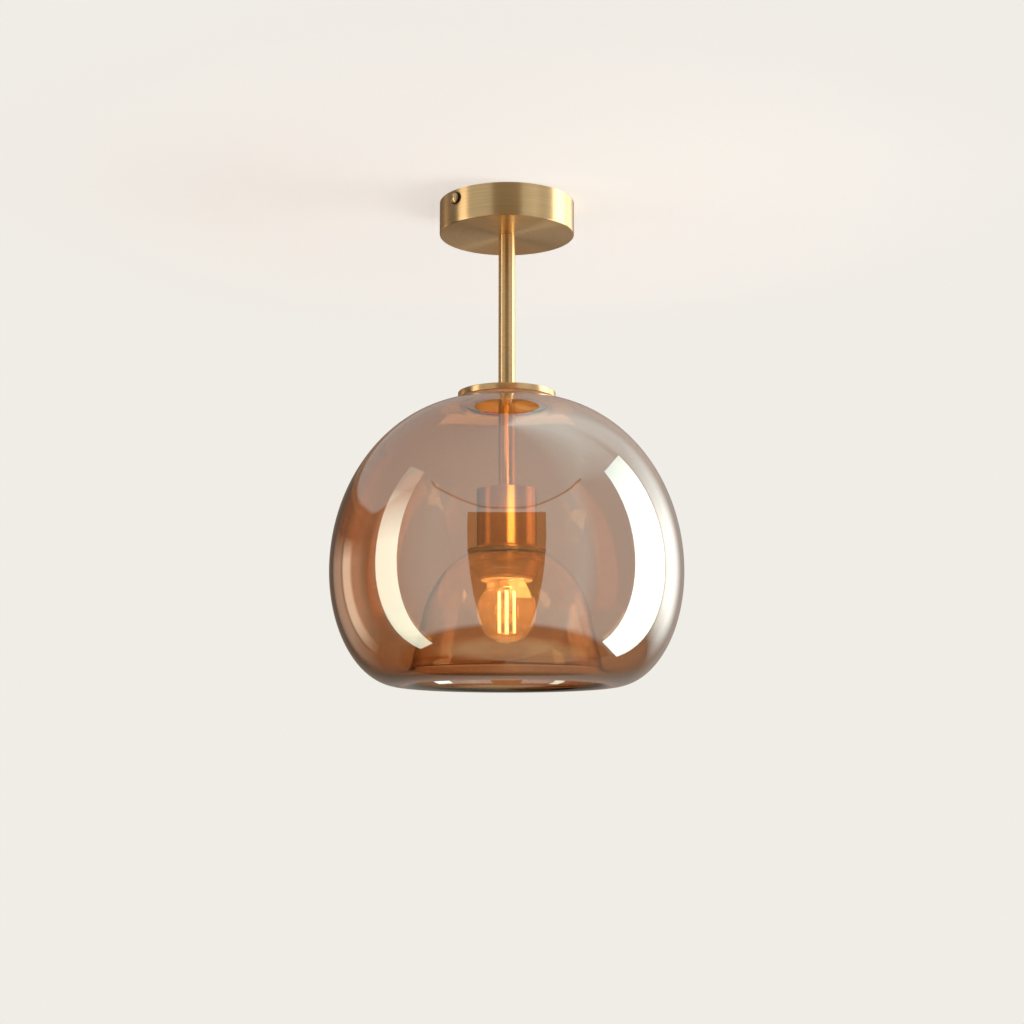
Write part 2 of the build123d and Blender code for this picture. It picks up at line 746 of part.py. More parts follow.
def make_shade_cap():
    """The brass disc on the shade, with a boss that looks down through the glass."""
    stem_bore = stem_radius + running_fit
    with BuildPart() as part:
        with Locations((0, 0, cap_face + cap_thickness / 2)):
            Cylinder(cap_radius, cap_thickness)
        fillet(part.edges().filter_by(GeomType.CIRCLE), cap_edge_radius)
        with Locations((0, 0, cap_face - cap_boss_height / 2)):
            Cylinder(cap_boss_radius, cap_boss_height)
        fillet(part.faces().sort_by(Axis.Z)[0].edges(), cap_edge_radius)
        with Locations((0, 0, cap_face)):
            Cylinder(stem_bore, 4 * cap_thickness, mode=Mode.SUBTRACT)
    return part.part


# ---------------------------------------------------------------- glass shade
def make_glass_shade():
    """Blown dome, folded at its foot into an inner bell that is clamped under the cup's brim."""
    dome_half_width = shade_radius - dome_crown_radius
    foot_half_height = waist - shade_foot
    bell_centre = bell_seat - bell_rise * sqrt(1 - (bell_seat_radius / bell_radius) ** 2)
    flare = radians(bell_flare_angle)

    def bell_tangent(half_width, half_height):
        """Where the bell's head turns into its straight flared skirt."""
        angle = atan(half_height / half_width * tan(flare))
        return angle, half_width * cos(angle), bell_centre + half_height * sin(angle)

    outer_angle, outer_r, outer_z = bell_tangent(bell_radius, bell_rise)
    room_radius = bell_radius - glass_wall
    room_rise = bell_rise - glass_wall
    room_angle, room_r, room_z = bell_tangent(room_radius, room_rise)
    # room side of the fold: the skirt's line meets the foot's level tangent in one bend
    corner_r = room_r + (room_z - shade_foot) * tan(flare)
    bend_run = fold_bend_radius * tan((pi / 2 - flare) / 2)
    bend_start = (corner_r - bend_run * sin(flare), shade_foot + bend_run * cos(flare))
    fold_radius = corner_r + bend_run
    foot_half_width = shade_radius - fold_radius
    # cavity side of the fold: the bell's curled foot and the dome meet in a crease
    crease = shade_foot + fold_wall
    flare_top = crease + bell_flare_height
    flare_top_r = outer_r + (outer_z - flare_top) * tan(flare)
    crease_r = fold_radius - bell_foot_inset
    inner_dome_top = dome_seat - glass_wall
    inner_half_width = dome_half_width - glass_wall
    inner_rise = dome_rise - glass_wall
    bell_under = bell_seat - glass_wall
    bell_under_r = room_radius * sqrt(1 - ((bell_under - bell_centre) / room_rise) ** 2)
    inner_top_r = dome_crown_radius + inner_half_width * sqrt(
        1 - ((inner_dome_top - waist) / inner_rise) ** 2)

    def ellipse(centre_r, centre_z, half_width, half_height, start, end):
        """An arc of an ellipse between two true heights or radii, as curve angles in degrees."""
        return EllipticalCenterArc((centre_r, centre_z), half_width, half_height,
                                   start_angle=start, arc_size=end - start)

    def height_angle(height, half_height):
        """The curve angle at which an ellipse reaches a height above its level axis."""
        return degrees(atan(height / sqrt(half_height ** 2 - height ** 2)))

    with BuildPart() as part:
        with BuildSketch(Plane.XZ):
            with BuildLine():
                # outside of the dome
                Line((dome_hole_radius, dome_seat), (dome_seat_radius, dome_seat))
                ellipse(dome_crown_radius, waist, dome_half_width, dome_rise,
                        0, height_angle(dome_seat - waist, dome_rise))
                ellipse(fold_radius, waist, foot_half_width, foot_half_height, -90, 0)
                # fold and room side of the bell
                TangentArc((fold_radius, shade_foot), bend_start, tangent=(-1, 0))
                Line(bend_start, (room_r, room_z))
                ellipse(0, bell_centre, room_radius, room_rise, degrees(room_angle),
                        height_angle(bell_under - bell_centre, room_rise))
                Line((bell_under_r, bell_under), (bell_hole_radius, bell_under))
                Line((bell_hole_radius, bell_under), (bell_hole_radius, bell_seat))
                # cavity side of the bell
                Line((bell_hole_radius, bell_seat), (bell_seat_radius, bell_seat))
                ellipse(0, bell_centre, bell_radius, bell_rise, degrees(outer_angle),
                        height_angle(bell_seat - bell_centre, bell_rise))
                Line((outer_r, outer_z), (flare_top_r, flare_top))
                TangentArc((flare_top_r, flare_top), (crease_r, crease),
                           tangent=(sin(flare), -cos(flare)))
                # inside of the dome
                Line((crease_r, crease), (fold_radius, crease))
                ellipse(fold_radius, waist, foot_half_width - glass_wall,
                        foot_half_height - fold_wall, -90, 0)
                ellipse(dome_crown_radius, waist, inner_half_width, inner_rise,
                        0, height_angle(inner_dome_top - waist, inner_rise))
                Line((inner_top_r, inner_dome_top), (dome_hole_radius, inner_dome_top))
                Line((dome_hole_radius, inner_dome_top), (dome_hole_radius, dome_seat))
            make_face()
        revolve(axis=Axis.Z)
        # the edges of both holes are fire-polished
        hole_edges = part.edges().filter_by(GeomType.CIRCLE).filter_by(
            lambda edge: round(edge.radius, 3) in (dome_hole_radius, bell_hole_radius))
        fillet(hole_edges, glass_edge_radius)
    return part.part


# ---------------------------------------------------------------- bulb
def make_bulb_glass():
    """The clear globe and its neck, which sits in the cap."""
    def profile(radius, neck_radius):
        neck_foot = globe_centre + sqrt((radius + bulb_neck_blend) ** 2
                                        - (neck_radius + bulb_neck_blend) ** 2)
        blend_centre = (neck_radius + bulb_neck_blend, neck_foot)
        reach = radius / (radius + bulb_neck_blend)
        touch = (blend_centre[0] * reach, globe_centre + (neck_foot - globe_centre) * reach)
        return blend_centre, touch

    top = bulb_shell_foot + neck_in_shell
    shells = []
    for radius, neck in ((globe_radius, bulb_neck_radius),
                         (globe_radius - bulb_glass_wall, bulb_neck_radius - bulb_glass_wall)):
        centre, touch = profile(radius, neck)
        touch_angle = degrees(atan((touch[1] - globe_centre) / touch[0]))
        with BuildPart() as part:
            with BuildSketch(Plane.XZ):
                with BuildLine():
                    Line((0, top), (neck, top))
                    Line((neck, top), (neck, centre[1]))
                    RadiusArc((neck, centre[1]), touch, bulb_neck_blend)
                    CenterArc((0, globe_centre), radius, touch_angle, -90 - touch_angle)
                    Line((0, globe_centre - radius), (0, top))
                make_face()
            revolve(axis=Axis.Z)
        shells.append(part.part)
    return shells[0] - shells[1]


def make_bulb_shell():
    """The bulb's E27 cap: a thin shell, open towards the globe."""
    inner = bulb_shell_radius - bulb_shell_wall
    return turned([
        (bulb_shell_mouth, bulb_shell_top),
        (bulb_shell_radius - bulb_shell_chamfer, bulb_shell_top),
        (bulb_shell_radius, bulb_shell_top - bulb_shell_chamfer),
        (bulb_shell_radius, bulb_shell_foot),
        (inner, bulb_shell_foot),
        (inner, bulb_shell_top - bulb_shell_wall),
        (bulb_shell_mouth, bulb_shell_top - bulb_shell_wall),
    ])


def make_bulb_insulator():
    """The dark glass cone between the cap's shell and its contact."""
    contact_base = bulb_tip - bulb_contact_height
    return turned([
        (0, contact_base),
        (bulb_contact_radius, contact_base),
        (bulb_insulator_radius, bulb_shell_top),
        (0, bulb_shell_top),
    ])


def make_bulb_contact():
    """The rounded centre contact at the bulb's tip."""
    with BuildPart() as part:
        with Locations((0, 0, bulb_tip - bulb_contact_height / 2)):
            Cylinder(bulb_contact_radius, bulb_contact_height)
        fillet(part.faces().sort_by(Axis.Z)[-1].edges(), bulb_contact_edge)
    return part.part


filament_top = globe_centre - filament_centre_drop + filament_length / 2
filament_foot = filament_top - filament_length
mount_foot = filament_top + mount_rod_gap
mount_top = bulb_shell_foot + neck_in_shell - mount_flare_gap
filament_angles = [360 / filament_count * (step + 0.5) for step in range(filament_count)]


def make_bulb_mount():
    """The flared glass foot in the neck, drawn down into a rod that carries the leads."""
    flare_radius = bulb_neck_radius - bulb_glass_wall - loose_fit
    return turned([
        (0, mount_top),
        (flare_radius, mount_top),
        (flare_radius, mount_top - mount_flare_edge),
        (mount_rod_radius + mount_shoulder, (mount_top + mount_foot) / 2),
        (mount_rod_radius, mount_foot),
        (0, mount_foot),
    ])


def make_filaments():
    """Upright filament sticks in a circle round the axis."""
    sticks = []
    for angle in filament_angles:
        spot = (filament_circle * cos(radians(angle)), filament_circle * sin(radians(angle)))
        stick = tube(filament_radius, 0, filament_top, filament_length)
        sticks.append(stick.moved(Location((spot[0], spot[1], 0))))
    return Compound(sticks)


def make_filament_leads():
    """Two half hoops over the sticks, with their leads to the rod, and one hoop under them."""
    wires = []
    for middle in (0, 180):
        with BuildPart() as part:
            with BuildLine() as hoop:
                CenterArc((0, 0, 0), filament_circle, middle - half_hoop_angle / 2, half_hoop_angle)
            with BuildSketch(Plane(origin=hoop.line @ 0, z_dir=hoop.line % 0)):
                Circle(lead_radius)
            sweep()
        half_hoop = part.part.moved(Location((0, 0, filament_top + lead_radius)))
        start = Vector(lead_start_radius, 0, mount_foot - lead_radius)
        end = Vector(filament_circle, 0, filament_top + lead_radius)
        direction = (end - start).normalized()
        with BuildPart() as lead:
            with BuildSketch(Plane(origin=start, z_dir=direction)):
                Circle(lead_radius)
            extrude(amount=(end - start).length)
        wires.append(half_hoop + lead.part.rotate(Axis.Z, middle))
    with BuildPart() as lower:
        Torus(filament_circle, lead_radius)
    wires.append(lower.part.moved(Location((0, 0, filament_foot - lead_radius))))
    return Compound(wires)


# ---------------------------------------------------------------- one STEP file for each node
line_wire, neutral_wire = make_line_wires()

nodes = {
    "ceiling_bracket": make_bracket(),
    "earth_screw": make_earth_screw(),
    "earth_lug": make_earth_lug(),
    "terminal_block": make_terminal_block(),
    "terminal_tubes": make_terminal_tubes(),
    "terminal_screws": make_terminal_screws(),
    "block_screws": make_block_screws(),
    "canopy": make_canopy(),
    "canopy_washer": make_lock_washer(canopy_washer_top),
    "canopy_nut": hex_nut(canopy_washer_top + nut_height),
    "upper_nipple": make_upper_nipple(),
    "stem": make_stem(),
    "lower_nipple": make_lower_nipple(),
    "lampholder_cup": make_cup(),
    "cup_washer": make_lock_washer(stem_end - cup_top_wall),
    "cup_nut": hex_nut(stem_end - cup_top_wall - lock_washer_thickness),
    "holder_cap": make_holder_cap(),
    "holder_skirt": make_holder_skirt(),
    "holder_core": make_holder_core(),
    "screw_shell": make_screw_shell(),
    "centre_contact": make_centre_contact(),
    "holder_terminals": make_holder_terminals(),
    "holder_screws": make_holder_screws(),
    "line_wire": line_wire,
    "neutral_wire": neutral_wire,
    "earth_wire": make_earth_wire(),
    "shade_cap": make_shade_cap(),
    "cap_gasket": tube(cap_gasket_radius, cap_gasket_bore, cap_face, cap_gasket_thickness),
    "glass_shade": make_glass_shade(),
    "upper_shade_gasket": tube(upper_gasket_radius, shade_gasket_bore, brim_face,
                               shade_gasket_thickness),
    "lower_shade_gasket": tube(lower_gasket_radius, shade_gasket_bore,
                               bell_seat - glass_wall, shade_gasket_thickness),
    "shade_ring": make_shade_ring(),
    "bulb_glass": make_bulb_glass(),
    "bulb_shell": make_bulb_shell(),
    "bulb_insulator": make_bulb_insulator(),
    "bulb_contact": make_bulb_contact(),
    "bulb_mount": make_bulb_mount(),
    "filaments": make_filaments(),
    "filament_leads": make_filament_leads(),
    "side_screw_right": make_side_screw(1),
    "side_screw_left": make_side_screw(-1),
    "side_washer_right": make_side_washer(1),
    "side_washer_left": make_side_washer(-1),
}

for name, shape in nodes.items():
    export_step(shape, f"parts/{name}.step")

print(f"{len(nodes)} nodes; shade foot at {shade_foot:.1f}, dome seat at {dome_seat:.1f}")
print(f"skirt foot {skirt_foot:.1f}, bulb tip {bulb_tip:.1f}, globe centre {globe_centre:.1f}")
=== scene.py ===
# %% [markdown]
# # A semi flush ceiling light in brass and smoked glass
# The lamp hangs from the plane z = 0. A round canopy and a short stem carry a brass cup with the
# lampholder, and a double-walled glass shade is clamped between that cup and a turned ring.
# The mechanical model is loaded as a fixed frame. Redrawing it here would let the looks drift away
# from the motion, so everything made below rides on one of its bodies instead.

import json
from math import cos, log, pi, radians, sin, sqrt

import bpy
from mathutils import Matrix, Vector


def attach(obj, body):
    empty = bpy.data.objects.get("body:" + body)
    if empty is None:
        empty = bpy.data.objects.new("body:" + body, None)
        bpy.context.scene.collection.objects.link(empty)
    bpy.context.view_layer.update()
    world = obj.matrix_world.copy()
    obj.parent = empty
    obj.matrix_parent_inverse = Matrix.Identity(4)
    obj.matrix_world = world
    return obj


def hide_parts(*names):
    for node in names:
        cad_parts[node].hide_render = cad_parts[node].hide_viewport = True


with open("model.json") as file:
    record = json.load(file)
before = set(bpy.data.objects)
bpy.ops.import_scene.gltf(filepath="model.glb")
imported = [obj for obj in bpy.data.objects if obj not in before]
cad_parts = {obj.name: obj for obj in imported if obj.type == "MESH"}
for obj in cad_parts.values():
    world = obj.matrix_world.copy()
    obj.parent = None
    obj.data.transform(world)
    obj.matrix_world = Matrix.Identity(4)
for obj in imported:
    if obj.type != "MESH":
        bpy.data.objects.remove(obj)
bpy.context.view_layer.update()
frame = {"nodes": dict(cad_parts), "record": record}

MM = 0.001

# %% [markdown]
# ## The camera
# The photograph looks slightly up from below the lamp. A camera can be set by eye, but a lamp that is
# all circles gives more: the ellipses of the canopy and the cup say how far, how low and how tilted the
# camera is, and the place of the side screw says from which bearing it looks.

# %% Camera
CAMERA_DISTANCE = 1.3526
CAMERA_HEIGHT = -0.4509
CAMERA_BEARING = radians(228)
CAMERA_TILT = radians(8.881)
CAMERA_YAW = radians(0.166)

camera_data = bpy.data.cameras.new("camera")
camera_data.lens = 64.28
camera_data.sensor_width = 36
camera = bpy.data.objects.new("camera", camera_data)
camera.location = (CAMERA_DISTANCE * cos(CAMERA_BEARING), CAMERA_DISTANCE * sin(CAMERA_BEARING),
                   CAMERA_HEIGHT)
camera.rotation_euler = (pi / 2 + CAMERA_TILT, 0, CAMERA_BEARING + pi / 2 - CAMERA_YAW)
bpy.context.scene.collection.objects.link(camera)
bpy.context.scene.camera = camera
bpy.context.scene.view_settings.view_transform = "Standard"
print("camera at", tuple(round(v, 3) for v in camera.location))

# %% [markdown]
# ## Node helpers
# Every finish below is a small node graph. In the shader editor each node is added and wired by hand.
# In code a few helpers do the same: one adds a node and sets or joins its sockets, and the others stand
# for the nodes that come back most often.


# %% Node helpers
def add(tree, kind, **sockets):
    """Adds a shader node. Sockets given by name are set, or joined if the value is a socket."""
    node = tree.nodes.new("ShaderNode" + kind)
    for name, value in sockets.items():
        socket = name.replace("_", " ")
        if socket[0] == "i" and socket[1:].isdigit():
            target = node.inputs[int(socket[1:])]
        else:
            target = next(s for s in node.inputs if s.name.lower() == socket.lower())
        if isinstance(value, bpy.types.NodeSocket):
            tree.links.new(value, target)
        else:
            target.default_value = value
    return node


def math(tree, operation, a, b=0.0):
    """One Math node; returns its output."""
    node = add(tree, "Math", i0=a, i1=b)
    node.operation = operation
    return node.outputs[0]


def remap(tree, value, low, high, start=0.0, end=1.0):
    """A Map Range node: start at low, end at high, even in between. Returns its output."""
    return add(tree, "MapRange", Value=value, From_Min=low, From_Max=high, To_Min=start,
               To_Max=end).outputs["Result"]


def blended(tree, kind, factor, below, above):
    """A colour Mix node; factor, below and above are sockets, numbers or colours."""
    node = add(tree, "Mix")
    node.data_type = "RGBA"
    node.blend_type = kind
    for socket, value in ((0, factor), (6, below), (7, above)):
        if isinstance(value, bpy.types.NodeSocket):
            tree.links.new(value, node.inputs[socket])
        else:
            node.inputs[socket].default_value = value
    return node.outputs[2]


def ramp(tree, factor, stops, interpolation="LINEAR"):
    """A Color Ramp node over (position, colour) pairs; returns its colour."""
    node = add(tree, "ValToRGB", Fac=factor)
    colours = node.color_ramp
    colours.interpolation = interpolation
    while len(colours.elements) > 1:
        colours.elements.remove(colours.elements[-1])
    colours.elements[0].position, colours.elements[0].color = stops[0]
    for position, colour in stops[1:]:
        colours.elements.new(position).color = colour
    return node.outputs["Color"]


def new_material(name):
    """An empty node material; returns it with its tree and its output node."""
    material = bpy.data.materials.new(name)
    material.use_nodes = True
    tree = material.node_tree
    tree.nodes.clear()
    return material, tree, tree.nodes.new("ShaderNodeOutputMaterial")


print("node helpers ready")

# %% [markdown]
# ## The studio round the lamp
# Half of what the glass and the brass show is the room that they mirror, so the room is drawn first. It
# could be a photograph of a studio wrapped round the world, but a drawn one needs no image. The world's
# colour is looked up by two numbers: the bearing round the lamp and the height over the horizon.

# %% Directions
BACKGROUND = (0.871, 0.847, 0.791, 1)


def turn_share(turn):
    """A bearing in degrees, 0 at the camera and positive to its right, as a share of a turn."""
    return (turn + 180) / 360


def tilt_share(tilt):
    """A height in degrees over the horizon, as a share from straight down to straight up."""
    return (tilt + 90) / 180


world = bpy.data.worlds.new("studio")
bpy.context.scene.world = world
world.use_nodes = True
sky = world.node_tree
sky.nodes.clear()
toward = add(sky, "SeparateXYZ", Vector=add(sky, "TexCoord").outputs["Generated"])
x, y, z = (toward.outputs[axis] for axis in "XYZ")
front = (cos(CAMERA_BEARING), sin(CAMERA_BEARING))
ahead = math(sky, "ADD", math(sky, "MULTIPLY", x, front[0]), math(sky, "MULTIPLY", y, front[1]))
aside = math(sky, "SUBTRACT", math(sky, "MULTIPLY", y, front[0]), math(sky, "MULTIPLY", x, front[1]))
bearing = math(sky, "ADD", math(sky, "DIVIDE", math(sky, "ARCTAN2", aside, ahead), 2 * pi), 0.5)
height = math(sky, "ADD", math(sky, "DIVIDE", math(sky, "ARCSINE", z), pi), 0.5)
off_front = math(sky, "ABSOLUTE", math(sky, "SUBTRACT", bearing, 0.5))
print("background", BACKGROUND[:3])

# %% [markdown]
# ### Walls and floor
# Pale screens stand in front of the lamp and on its right, and the left side is dark. A brown floor
# begins some forty degrees down and is lighter straight below. Each stop of a ramp gives an angle, a
# level and a warmth. A texture could hold the same greys, but a ramp keeps them easy to move.


# %% Walls and floor
def grey(value, warmth=0.0):
    """A grey of the studio; warmth takes green and blue away."""
    return (value, value * (1 - 0.35 * warmth), value * (1 - 0.6 * warmth), 1)


def round_about(stops, warmth=0.0):
    """Greys round the lamp. Each stop is a bearing, a level and, where it has its own, a warmth."""
    return ramp(sky, bearing, [(turn_share(turn), grey(level, *(own or (warmth,))))
                               for turn, level, *own in stops])


walls = round_about((
    (-180, 0.34, 0.4), (-160, 0.16, 0.6), (-140, 0.09, 0.8), (-98, 0.09, 0.7), (-66, 0.50, 0.1),
    (-50, 0.57, 0.0), (-30, 0.55, 0.0), (35, 0.62, 0.0), (50, 0.72, 0.0), (62, 0.52, 0.0),
    (112, 0.56, 0.0), (115, 0.30, 0.3), (120, 0.45, 0.2), (124, 0.80, 0.0), (144, 0.80, 0.0),
    (152, 0.48, 0.2), (180, 0.34, 0.4)))
up_and_down = ramp(sky, height, [(tilt_share(tilt), grey(level, warmth)) for tilt, level, warmth in (
    (-62, 0.9, 1.0), (-53, 0.24, 0.9), (-45, 0.22, 0.8), (-41, 0.95, 0.1), (90, 1.0, 0.0))])
room = blended(sky, "MULTIPLY", 1.0, walls, up_and_down)
print("walls and floor ready")

# %% [markdown]
# ### Lights in the room
# Low on the left stand two warm, narrow lights, and on the right a broad white one: they are the thin
# bands near the edges of the glass. They belong to the world rather than to lamps, so that they show in
# the mirror without adding hard light.


# %% Lights in the room
def fading(start, end):
    """0 to 1 while the height goes from the start angle to the end angle, in degrees."""
    return remap(sky, height, tilt_share(start), tilt_share(end))


left_lights = round_about((
    (-152, 0.0), (-145, 0.34), (-134, 0.40), (-131, 0.10), (-129, 1.05), (-120, 1.05), (-117, 0.26),
    (-108, 0.20), (-100, 0.0)), warmth=0.7)
room = blended(sky, "ADD", math(sky, "MULTIPLY", fading(13, 7), fading(-30, -12)), room, left_lights)
right_light = round_about(((120, 0.0), (123, 1.5), (136, 1.4), (146, 0.25), (152, 0.0)))
room = blended(sky, "ADD", fading(38, 14), room, right_light)

# under the white light the room darkens towards the floor, less so the further it is turned away
RIGHT_SIDE_FROM, TURNED_AWAY_FROM = turn_share(113), turn_share(150)
right_low = math(sky, "MULTIPLY", math(sky, "GREATER_THAN", bearing, RIGHT_SIDE_FROM), fading(-5, -22))
right_low = math(sky, "MULTIPLY", right_low, remap(sky, bearing, TURNED_AWAY_FROM, 1.0, 1.0, 0.0))
room = blended(sky, "MIX", right_low, room, (0.20, 0.16, 0.12, 1))
print("room lights ready")

# %% [markdown]
# ### The ceiling of the studio
# Over the walls comes the ceiling, behind a thin dark joint that climbs towards the room's corners. The
# joint is a curve too: a ramp holds its height for each bearing, and the ceiling shows above it.

# %% Ceiling of the studio
overhead = ramp(sky, bearing, [(turn_share(turn), (level * 0.97, level, level, 1)) for turn, level in (
    (-180, 0.33), (-110, 0.39), (-75, 0.43), (-40, 0.47), (40, 0.54), (70, 0.76), (100, 1.02),
    (140, 1.08), (160, 0.75), (180, 0.33))])
joint_heights = ramp(sky, bearing, [(turn_share(turn), grey(tilt_share(tilt))) for turn, tilt in (
    (-180, 24), (-115, 23), (-95, 25), (-70, 41), (-56, 39.5), (-24, 31.7), (0, 29.5), (24, 31.9),
    (52, 40.3), (72, 45), (100, 46), (180, 40))], "CARDINAL")
joint = add(sky, "SeparateXYZ", Vector=joint_heights).outputs["X"]

# on the right the joint is out of focus
SHARP_UP_TO, BLUR_GROWTH, LEAST_BLUR = turn_share(58), 0.7, 0.004
blur = math(sky, "MULTIPLY", math(sky, "SUBTRACT", bearing, SHARP_UP_TO), BLUR_GROWTH)
blur = math(sky, "MAXIMUM", blur, LEAST_BLUR)
above_joint = remap(sky, height, math(sky, "SUBTRACT", joint, blur), math(sky, "ADD", joint, blur))
room = blended(sky, "MIX", above_joint, room, overhead)

LINE_HALF_HEIGHT, LINE_REACH = 0.0030, 62 / 360
line = math(sky, "ABSOLUTE", math(sky, "SUBTRACT", height, joint))
line = math(sky, "LESS_THAN", line, LINE_HALF_HEIGHT)
line = math(sky, "MULTIPLY", line, math(sky, "LESS_THAN", off_front, LINE_REACH))
room = blended(sky, "MIX", line, room, (0.27, 0.24, 0.20, 1))
print("studio ceiling ready")

# %% [markdown]
# ### The gap that the camera looks through
# Straight in front of the lamp the screens leave a dark gap. There the glass has little to mirror, and
# its amber shows. The gap narrows a little towards the floor.

# %% Gap and what each ray sees
GAP_NARROWING, GAP_WIDTH = 0.0468, 0.0422
GAP_FOOT, GAP_TOP = tilt_share(-44), tilt_share(27)
gap = math(sky, "ADD", math(sky, "MULTIPLY", height, GAP_NARROWING), GAP_WIDTH)
gap = math(sky, "LESS_THAN", off_front, gap)
gap = math(sky, "MULTIPLY", gap, math(sky, "LESS_THAN", height, GAP_TOP))
gap = math(sky, "MULTIPLY", gap, math(sky, "GREATER_THAN", height, GAP_FOOT))
room = blended(sky, "MIX", gap, room, (0.17, 0.115, 0.06, 1))

# seen straight, or straight through glass, the world is the plain background; mirrored, it is the room
ray = add(sky, "LightPath")
mirrored = math(sky, "GREATER_THAN", ray.outputs["Glossy Depth"], 0.5)
direct = math(sky, "MAXIMUM", ray.outputs["Is Camera Ray"], ray.outputs["Is Transmission Ray"])
seen = math(sky, "MULTIPLY", direct, math(sky, "SUBTRACT", 1.0, mirrored))
plain = add(sky, "Background", Color=BACKGROUND, Strength=1.0)
studio = add(sky, "Background", Color=room, Strength=1.0)
mixed = add(sky, "MixShader", Fac=seen, i1=studio.outputs[0], i2=plain.outputs[0])
sky.links.new(mixed.outputs[0], add(sky, "OutputWorld").inputs["Surface"])
print("world nodes:", len(sky.nodes))

# %% [markdown]
# ## The ceiling that the lamp hangs from
# A one-sided plane lies just above the canopy. From below it shows the background's colour and catches
# the canopy's soft shadow, and from above it is clear, so that the lamp can be looked at from every
# side. A plain plane would end in a horizon line, so away from the lamp its paint fades into a glow of
# exactly the background's colour.

# %% Ceiling plane
bpy.ops.object.select_all(action="DESELECT")
bpy.ops.mesh.primitive_plane_add(size=1.4, location=(0, 0, 0.0004), rotation=(pi, 0, 0))
ceiling = bpy.context.object
ceiling.name = "ceiling"
ceiling.visible_glossy = False
ceiling.visible_diffuse = False
ceiling.visible_shadow = False

PAINTED_TO, PLAIN_FROM = 0.10, 0.45
# what the lamps and the studio put on the ceiling, as a share of its own colour
CEILING_LIGHT = (0.50, 0.446, 0.388)
material, tree, output = new_material("ceiling_paint")
from_axis = add(tree, "VectorMath", i0=add(tree, "TexCoord").outputs["Object"])
from_axis.operation = "LENGTH"
share = remap(tree, from_axis.outputs["Value"], PAINTED_TO, PLAIN_FROM, 1.0, 0.0)
share.node.interpolation_type = "SMOOTHSTEP"
unlit = tuple(c * (1 - light) for c, light in zip(BACKGROUND, CEILING_LIGHT)) + (1,)
glow = add(tree, "Emission", Color=blended(tree, "MIX", share, BACKGROUND, unlit), Strength=1.0)
paint = add(tree, "BsdfDiffuse", Color=blended(tree, "MIX", share, (0, 0, 0, 1), BACKGROUND))
lit = add(tree, "AddShader", i0=glow.outputs[0], i1=paint.outputs[0])
clear = add(tree, "BsdfTransparent", Color=(1, 1, 1, 1))
side = add(tree, "NewGeometry").outputs["Backfacing"]
both = add(tree, "MixShader", Fac=side, i1=lit.outputs[0], i2=clear.outputs[0])
tree.links.new(both.outputs[0], output.inputs["Surface"])
ceiling.data.materials.append(material)

# a ray to the bulb crosses eight skins of glass, and bounces between them
bpy.context.scene.cycles.max_bounces = 32
bpy.context.scene.cycles.transmission_bounces = 32
bpy.context.scene.cycles.glossy_bounces = 8
print("ceiling ready")

# %% [markdown]
# ## Softboxes
# Reflecting the camera's rays at the shade's wall showed where the two bright strips on the glass come
# from: a cream softbox to the left of the camera and a whiter one to its right, both far taller than
# the lamp. They are area lamps, so that they light the brass as well as show in the glass.


# %% Softboxes
def area_lamp(name, turn, distance, middle, size, radiance, colour):
    """An upright area lamp that faces the lamp's axis, and is hidden from the camera itself."""
    light = bpy.data.lights.new(name, "AREA")
    light.shape = "RECTANGLE"
    light.size, light.size_y = size
    light.energy = radiance * pi * size[0] * size[1]
    light.color = colour
    lamp = bpy.data.objects.new(name, light)
    angle = CAMERA_BEARING + radians(turn)
    lamp.location = (distance * cos(angle), distance * sin(angle), middle)
    aim = Vector((0, 0, middle)) - lamp.location
    lamp.rotation_euler = aim.to_track_quat("-Z", "Y").to_euler()
    lamp.visible_camera = False
    bpy.context.scene.collection.objects.link(lamp)
    return lamp


def softbox(name, turn, foot, top, width, radiance, colour, fade_from, fade_to, fade):
    """A tall lamp that fades, by the share given, between two heights."""
    lamp = area_lamp(name, turn, SOFTBOX_DISTANCE, (foot + top) / 2, (width, top - foot), radiance,
                     colour)
    lamp.data.use_nodes = True
    tree = lamp.data.node_tree
    place = add(tree, "SeparateXYZ", Vector=add(tree, "NewGeometry").outputs["Position"])
    level = remap(tree, place.outputs["Z"], fade_from, fade_to, 1.0, 1 - fade)
    emission = next(node for node in tree.nodes if node.type == "EMISSION")
    tree.links.new(level, emission.inputs["Strength"])
    print(name, "energy", round(lamp.data.energy, 2))


SOFTBOX_DISTANCE = 1.2
softbox("left_softbox", -78.1, -1.70, 0.92, 0.367, 2.1, (1.0, 0.88, 0.74), -0.05, 0.55, 0.86)
softbox("right_softbox", 100.0, -1.40, 0.86, 0.666, 2.8, (1.0, 0.99, 0.97), 0.3, 0.86, 0.5)

# %% [markdown]
# ## Warm light kept inside the shade
# The half-mirror throws the bulb's light back on the cup, the boss and the stem. Tracing that through
# two curved mirrors would stay grainy for long, so three small warm lamps inside the shade stand for
# it: one in front of the cup, one behind the axis, and one under the boss.

# %% Light kept inside
GLOW_COLOUR = (1.0, 0.70, 0.30)
for name, turn, distance, middle, size, radiance in (
        ("front_glow", 15, 0.098, -0.238, (0.040, 0.080), 8.0),
        ("back_glow", 180, 0.088, -0.190, (0.070, 0.030), 3.0),
        ("boss_glow", -12, 0.060, -0.172, (0.050, 0.016), 5.0)):
    area_lamp(name, turn, distance, middle, size, radiance, GLOW_COLOUR).visible_transmission = False
    print(name, "radiance", radiance)

# %% [markdown]
# ## Turned pieces
# Nearly everything on this lamp is turned on a lathe, spun, or blown round. A Screw modifier on a curve
# would do it, but spin in edit mode makes a real closed mesh at once: a plane is collapsed to a point,
# extruded along the outline of the wall, and spun round the axis, and the doubled points are merged.


# %% Turned pieces
SAME_POINT = 1e-6


